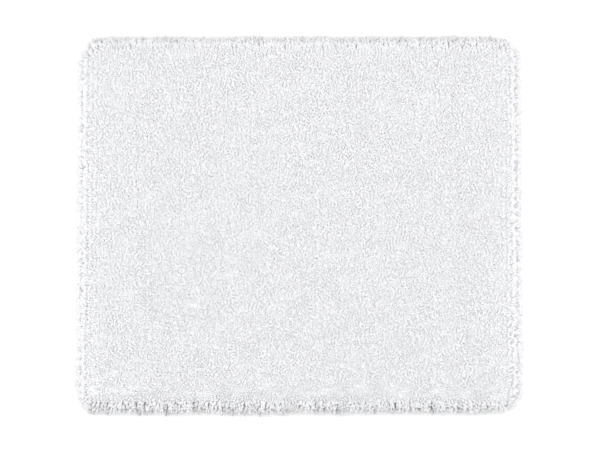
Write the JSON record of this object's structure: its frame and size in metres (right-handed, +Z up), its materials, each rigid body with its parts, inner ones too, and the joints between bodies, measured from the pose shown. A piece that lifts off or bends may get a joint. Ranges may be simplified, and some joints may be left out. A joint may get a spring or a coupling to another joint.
{
  "type": "bath mat",
  "caption": "Tufted cut-pile bath mat, a rounded rectangle of deep soft yarn on a coated base cloth with an overlocked edge and a non-slip underside.",
  "frame": {"origin": "on the floor, under the middle of the mat", "axes": "+X along the longer side, +Y towards the back edge that the pile leans to, +Z up out of the pile"},
  "size_m": [0.654, 0.558, 0.0245],
  "materials": {
    "pile_yarn": "soft matte white cut pile",
    "woven_cloth": "plain woven backing",
    "latex": "dull cream latex",
    "anti_slip_rubber": "matt off-white rubber",
    "sewing_thread": "white polyester thread",
    "satin_tape": "white satin tape, blank"
  },
  "bodies": {
    "root": {"anti_slip_coat": "anti_slip_rubber", "latex_precoat": "latex", "base_cloth": "woven_cloth", "overlock_upper_looper_thread": "sewing_thread", "overlock_lower_looper_thread": "sewing_thread", "overlock_needle_thread": "sewing_thread", "care_label": "satin_tape", "pile_yarns_01": "pile_yarn", "pile_yarns_02": "pile_yarn", "pile_yarns_03": "pile_yarn", "pile_yarns_04": "pile_yarn", "pile_yarns_05": "pile_yarn", "pile_yarns_06": "pile_yarn", "pile_yarns_07": "pile_yarn", "pile_yarns_08": "pile_yarn", "pile_yarns_09": "pile_yarn", "pile_yarns_10": "pile_yarn", "pile_yarns_11": "pile_yarn", "pile_yarns_12": "pile_yarn", "pile_yarns_13": "pile_yarn", "pile_yarns_14": "pile_yarn"}
  },
  "joints": []
}
